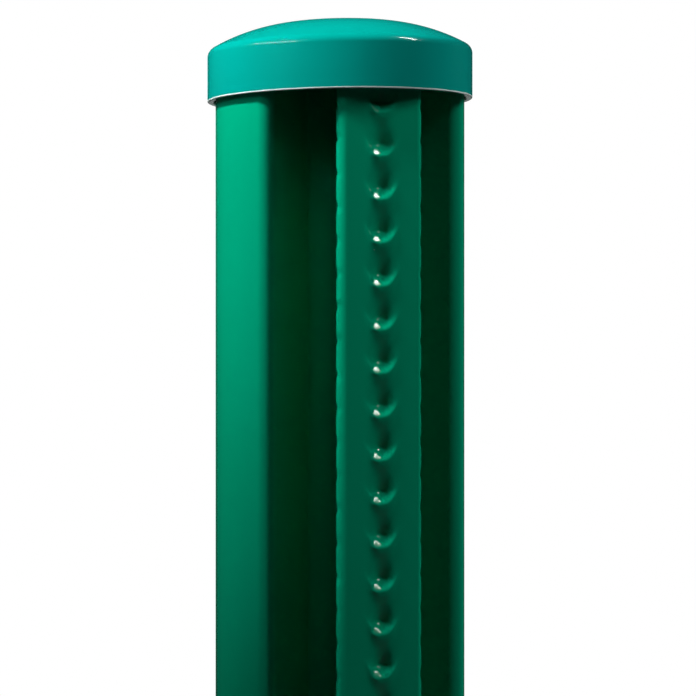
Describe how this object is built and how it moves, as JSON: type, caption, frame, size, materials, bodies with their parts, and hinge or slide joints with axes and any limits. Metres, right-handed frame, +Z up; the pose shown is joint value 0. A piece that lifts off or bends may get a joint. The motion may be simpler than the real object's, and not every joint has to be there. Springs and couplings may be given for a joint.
{
  "type": "metal fence post",
  "caption": "Round steel fence post, folded from one strip with a flat clip rail held out on a neck between two grooves, stitched by a row of dents, and closed by a domed plastic cap.",
  "frame": {"origin": "on the tube's axis, at the cut foot of the post", "axes": "+Z up the post towards the cap, -Y out of the face of the clip rail, +X to the right as the rail is faced"},
  "size_m": [0.051, 0.051, 1.5072],
  "materials": {
    "green_coated_steel": "smooth glossy powder coat, emerald green",
    "green_moulded_plastic": "smooth moulded plastic, teal green, slight gloss"
  },
  "bodies": {
    "root": {"post": "green_coated_steel", "cap": "green_moulded_plastic"}
  },
  "joints": []
}
